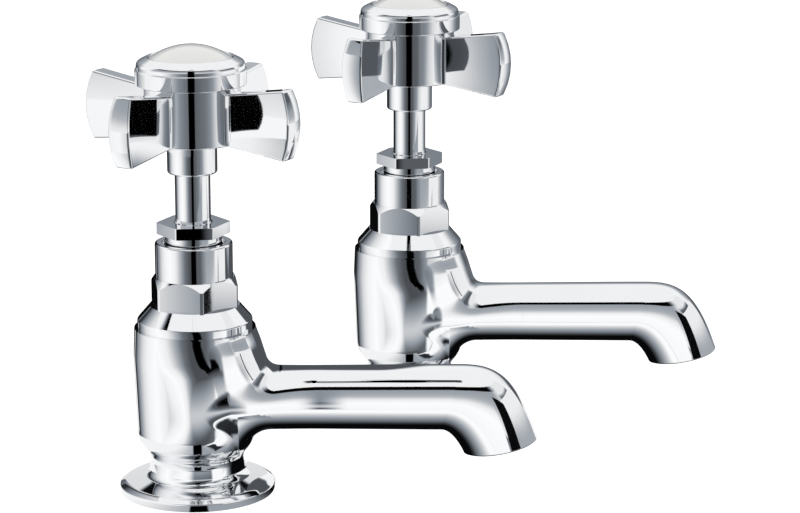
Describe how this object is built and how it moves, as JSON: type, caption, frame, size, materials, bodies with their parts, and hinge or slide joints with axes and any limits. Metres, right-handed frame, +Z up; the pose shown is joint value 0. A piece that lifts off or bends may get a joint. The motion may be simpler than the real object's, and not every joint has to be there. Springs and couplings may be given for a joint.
{
  "type": "pair of bath taps",
  "caption": "Matching pillar taps with screw-down valves: crosshead handle on a rising spindle, hexagon headwork, barrel body on a round flange, long spout and threaded tail.",
  "frame": {"origin": "the hot tap's upright axis at the underside of its flange, on the top of the bath rim", "axes": "+X the way both spouts point, +Z up along the spindles, +Y from the hot tap towards the cold tap"},
  "size_m": [0.2131, 0.1784, 0.1999],
  "materials": {
    "chrome": "polished chromium plate on brass",
    "chrome_rod": "polished chromium plate on the rod, bare brass on the thread",
    "brass": "turned brass",
    "steel": "zinc-plated",
    "rubber": "moulded black rubber",
    "foam_rubber": "matt closed-cell rubber",
    "fibre": "red vulcanised fibre",
    "packing": "pressed white packing",
    "porcelain": "white glazed porcelain"
  },
  "bodies": {
    "root": {"hot_body": "chrome", "hot_deck_seal": "foam_rubber", "hot_clamp_washer": "fibre", "hot_backnut": "brass", "hot_headwork": "chrome", "hot_headwork_washer": "fibre", "hot_packing_ring": "brass", "hot_gland_packing": "packing", "hot_gland_nut": "chrome", "cold_body": "chrome", "cold_deck_seal": "foam_rubber", "cold_clamp_washer": "fibre", "cold_backnut": "brass", "cold_headwork": "chrome", "cold_headwork_washer": "fibre", "cold_packing_ring": "brass", "cold_gland_packing": "packing", "cold_gland_nut": "chrome"},
    "hot_valve": {"hot_jumper": "brass", "hot_tap_washer": "rubber", "hot_jumper_nut": "brass"},
    "hot_handle": {"hot_spindle": "chrome_rod", "hot_crosshead": "chrome", "hot_handle_screw": "steel", "hot_index_ring": "chrome", "hot_index_dome": "porcelain"},
    "cold_valve": {"cold_jumper": "brass", "cold_tap_washer": "rubber", "cold_jumper_nut": "brass"},
    "cold_handle": {"cold_spindle": "chrome_rod", "cold_crosshead": "chrome", "cold_handle_screw": "steel", "cold_index_ring": "chrome", "cold_index_dome": "porcelain"}
  },
  "joints": [
    {"name": "hot_valve_lift", "type": "slide", "parent": "root", "child": "hot_valve", "axis": [0, 0, 1], "range_m": [0, 0.00625]},
    {"name": "hot_handle_turn", "type": "hinge", "parent": "hot_valve", "child": "hot_handle", "pos_m": [0, 0, 0.1], "axis": [0, 0, 1], "range_deg": [0, 901]},
    {"name": "cold_valve_lift", "type": "slide", "parent": "root", "child": "cold_valve", "axis": [0, 0, 1], "range_m": [0, 0.00625]},
    {"name": "cold_handle_turn", "type": "hinge", "parent": "cold_valve", "child": "cold_handle", "pos_m": [0.0685, 0.108, 0.1], "axis": [0, 0, 1], "range_deg": [0, 901]}
  ],
  "couplings": [
    {"joint": "hot_handle_turn", "follows": "hot_valve_lift", "rad_per_m": 2513.3},
    {"joint": "cold_handle_turn", "follows": "cold_valve_lift", "rad_per_m": 2513.3}
  ]
}
